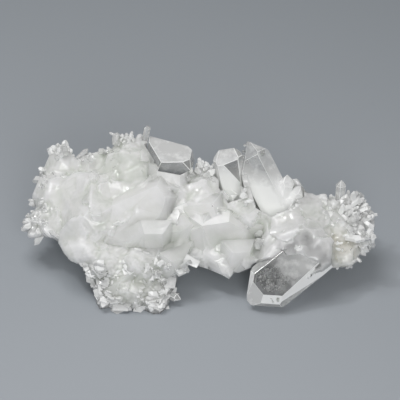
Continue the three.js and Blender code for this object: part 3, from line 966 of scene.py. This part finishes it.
def fan_crystals(centre, radii, way, spread, count, length, half):
    """Crystals of one fan as planes, roots and tips."""
    offsets = unit(random.normal(size=(count, 3))) * random.uniform(0, 1, (count, 1)) ** 0.33
    roots = centre + offsets * radii
    tips = roots + leaning(np.tile(np.array(way, float), (count, 1)), spread) * random.uniform(*length, (count, 1))
    for root, tip in zip(roots, tips):
        width = random.uniform(*half)
        halves = width * random.uniform(0.75, 1.2, 6)
        yield crystal_planes(root, tip, random.normal(size=3), halves, width * random.uniform(0, 1, 6)), root, tip


def fans(material):
    """Fans of fine crystals, milky at the root and clear at the tip."""
    corners, faces, milk, start = [], [], [], 0
    for fan in FANS:
        for planes, root, tip in fan_crystals(**fan):
            solid, sides = corners_and_faces(planes)
            faces.extend(face + start for _, face in sides)
            start += len(solid)
            corners.append(solid)
            along = (solid - root) @ (tip - root) / ((tip - root) @ (tip - root))
            milk.append(random.uniform(0.95, 1.3) - 0.3 * along)
    piece = mesh_object("fans", inside_box(np.concatenate(corners)), faces)
    painted(piece, "milk", np.clip(np.concatenate(milk), 0.1, 1))
    painted(piece, "shade", np.ones(start))
    return finished(piece, material)


def scattered(name, material, shapes, roots, axes, sizes, milk, shade):
    """One piece of many small shapes, each with its own milk and shade."""
    corners, faces, owners = placed(shapes, roots, axes, sizes)
    piece = mesh_object(name, inside_box(corners), faces)
    painted(piece, "milk", milk[owners])
    painted(piece, "shade", shade[owners])
    return finished(piece, material)


# Patches of fine crystals: middle and radii in the photograph's pixels, how many, their half widths.
PATCHES = [
    ((60, 152), (9, 6), 16, (0.35, 0.8)),
    ((80, 157), (12, 4), 20, (0.3, 0.7)),
    ((42, 178), (5, 14), 12, (0.3, 0.7)),
    ((104, 151), (5, 6), 8, (0.3, 0.6)),
    ((363, 226), (16, 14), 50, (0.4, 0.85)),
    ((202, 171), (11, 7), 16, (0.35, 0.8)),
    ((291, 202), (7, 9), 10, (0.4, 0.9)),
    ((240, 196), (10, 10), 6, (0.4, 0.9)),
    ((160, 268), (10, 12), 14, (0.3, 0.7)),
]
# Patches of flat chips on the broken foot, in the same form.
CHIP_PATCHES = [
    ((104, 294), (6, 10), 26, (0.7, 1.5)),
    ((157, 300), (10, 9), 32, (0.7, 1.5)),
    ((94, 272), (9, 9), 12, (0.6, 1.3)),
]


def patch_spots(surface, groups):
    """Where random pixels of patches meet a surface: points, normals and sizes."""
    points, normals, sizes = [], [], []
    for middle, radii, count, size in groups:
        for pixel in fleck_pixels(middle, radii, count):
            hit = seen(surface, pixel)
            if hit is not None:
                points.append(hit[0])
                normals.append(hit[1])
                sizes.append(random.uniform(*size))
    return np.array(points), np.array(normals), np.array(sizes)


def patches(mass, material):
    """Patches of fine crystals where the photograph shows them, and chips in steps on the foot."""
    points, normals, sizes = patch_spots(surface_of(mass), PATCHES)
    milk = random.uniform(0.5, 1, len(points))
    roots = points - 1.2 * sizes[:, None] * normals
    scattered("patches", material, small_crystals(3, 6), roots, leaning(normals, 0.6), sizes, milk, np.ones(len(points)))
    points, normals, sizes = patch_spots(surface_of(mass), CHIP_PATCHES)
    milk = random.uniform(0.6, 1, len(points))
    axes = leaning(np.tile([0.1, -0.5, 0.87], (len(points), 1)), 0.2)
    shapes = chips((1.8, 1, 0.3))
    scattered("chip_patches", material, shapes, points - 0.4 * sizes[:, None] * normals, axes, sizes, milk, np.ones(len(points)))


def crust(mass, material, count=260):
    """Small crystals on the rough places."""
    points, normals = places_of(mass), read(mass.data.vertex_normals, "vector")
    chance = zone_at(points, ROUGH[1:]) ** 2
    spots = random.choice(len(points), count, replace=False, p=chance / chance.sum())
    sizes = random.uniform(0.12, 0.4, count)
    roots = points[spots] - sizes[:, None] * normals[spots]
    axes = leaning(normals[spots], 0.7)
    milk = random.uniform(0.4, 1, count)
    return scattered("crust", material, small_crystals(3, 6), roots, axes, sizes, milk, np.ones(count))


def broken_foot(mass, material, count=300):
    """Flat chips on the broken foot, lying in steps."""
    points, normals = places_of(mass), read(mass.data.vertex_normals, "vector")
    chance = zone_at(points, ROUGH[:1]) ** 2
    spots = random.choice(len(points), count, replace=False, p=chance / chance.sum())
    sizes = random.uniform(0.5, 1.6, count) ** 1.5
    axes = leaning(np.tile([0.1, -0.5, 0.87], (count, 1)), 0.24)
    roots = points[spots] - 0.5 * sizes[:, None] * normals[spots]
    milk = random.uniform(0.55, 1, count)
    shade = random.uniform(0.94, 1, count)
    return scattered("broken_foot", material, chips((1.7, 1, 0.32)), roots, axes, sizes, milk, shade)


def rear_crystals(mass, material, count=170):
    """Crystals on the rear supports and the back, which the photograph doesn't show."""
    points, normals = places_of(mass), read(mass.data.vertex_normals, "vector")
    hidden = (normals @ FORWARD > 0.1) & (points[:, 1] > 3) & (points[:, 2] > 0.8) & (points[:, 2] < 15)
    spots = random.choice(np.flatnonzero(hidden), count, replace=False)
    sizes = random.uniform(0.45, 1.25, count)
    roots = points[spots] - 1.6 * sizes[:, None] * normals[spots]
    milk = random.uniform(0.6, 1, count)
    shapes = small_crystals(3, 4.6)
    return scattered("rear_crystals", material, shapes, roots, leaning(normals[spots], 0.6), sizes, milk, np.ones(count))


# Flecks: middle and radii in the photograph's pixels, how many, their size, how many are dark.
SURFACE_FLECKS = [
    ((53, 175), (4, 6), 16, (0.1, 0.35), 0.5),
    ((112, 151), (2, 2), 4, (0.1, 0.25), 1),
    ((115, 165), (5, 12), 8, (0.08, 0.2), 0.7),
    ((103, 275), (8, 5), 14, (0.12, 0.3), 0.8),
    ((150, 272), (8, 12), 12, (0.1, 0.25), 0.8),
    ((150, 303), (12, 3), 10, (0.1, 0.25), 0.8),
    ((345, 246), (8, 6), 12, (0.1, 0.25), 0.7),
]
# Inside the front crystal the dark flecks are painted shade: they stand for the shaded floor seen through it.
INNER_FLECKS = [
    ((272, 279), (15, 13), 420, (0.08, 0.3), 0.62),
    ((292, 268), (18, 14), 160, (0.06, 0.2), 0.3),
]


def fleck_pixels(middle, radii, count):
    turn = random.uniform(0, 2 * np.pi, count)
    reach = random.uniform(0, 1, count) ** 0.5
    return np.array(middle) + np.column_stack([np.cos(turn), np.sin(turn)]) * reach[:, None] * radii


def flecks(mass, material):
    """Dark and pale flecks on the mass, and inside the front crystal under its broad face, where the dark ones are
    painted shade.
    """
    surface = surface_of(mass)
    front = clear_solids()["front_crystal"][1]
    roots, sizes, shade = [], [], []
    for depth, groups in ((0, SURFACE_FLECKS), (1.6, INNER_FLECKS)):
        for middle, radii, count, size, dark in groups:
            for pixel in fleck_pixels(middle, radii, count):
                below = random.uniform(0.3, 1) * depth
                inner = on_plane(pixel, front[:3], front[3] - below)
                roots.append(inner if depth else seen(surface, pixel)[0])
            sizes.append(random.uniform(*size, count))
            # Dark flecks are darkened to a shade of 0.22; those inside the front crystal are painted shade.
            shade.append(np.where(random.uniform(size=count) < dark, 0.22, 1))
    roots, sizes, shade = np.array(roots), np.concatenate(sizes), np.concatenate(shade)
    axes = unit(random.normal(size=roots.shape))
    return scattered("flecks", material, chips((1, 1, 0.3)), roots, axes, sizes, np.ones(len(roots)), shade)


# ---- Stage


def camera():
    data = bpy.data.cameras.new("camera")
    data.lens = CAMERA_LENS
    data.sensor_width = SENSOR
    data.sensor_fit = "HORIZONTAL"
    data.clip_start = 0.01
    view = bpy.data.objects.new("camera", data)
    view.location = in_metres(EYE)
    view.rotation_euler = (np.pi / 2 - CAMERA_ELEVATION, 0, 0)
    bpy.context.collection.objects.link(view)
    bpy.context.scene.camera = view


def round_light(name, place, size, power):
    """A round lamp that looks at the origin, in metres and watts."""
    data = bpy.data.lights.new(name, "AREA")
    data.shape = "DISK"
    data.size = size
    data.energy = power
    light = bpy.data.objects.new(name, data)
    light.location = place
    light.rotation_euler = (-Vector(place)).to_track_quat("-Z", "Y").to_euler()
    bpy.context.collection.objects.link(light)


def stage():
    """The pale floor with a painted pool of light in front, a soft lamp overhead with a brighter middle, and a bright
    room all round.
    """
    floor = mesh_object("floor", np.array([(-1, -1, 0), (1, -1, 0), (1, 1, 0), (-1, 1, 0)]) * 3000, [(0, 1, 2, 3)])
    floor.data.materials.append(floor_material())
    round_light("overhead", (-0.12, 0.1, 0.54), 0.34, 1.06)
    round_light("spark", (-0.28, 0.1, 0.52), 0.06, 0.4)
    round_light("front", (0.08, -0.48, 0.27), 0.3, 1.15)
    world = bpy.data.worlds.new("studio")
    world.use_nodes = True
    background = world.node_tree.nodes["Background"]
    background.inputs["Color"].default_value = (1, 1, 1, 1)
    background.inputs["Strength"].default_value = 0.26
    bpy.context.scene.world = world
    bpy.context.scene.view_settings.view_transform = "Standard"


camera()
stage()
crystal = crystal_material()
mass = milky_mass()
crystals = clear_crystals(crystal)
small_points([surface_of(piece) for piece in [mass, *crystals]], crystal)
fans(crystal)
crust(mass, crystal)
broken_foot(mass, crystal)
patches(mass, crystal)
flecks(mass, crystal)
rear_crystals(mass, crystal)
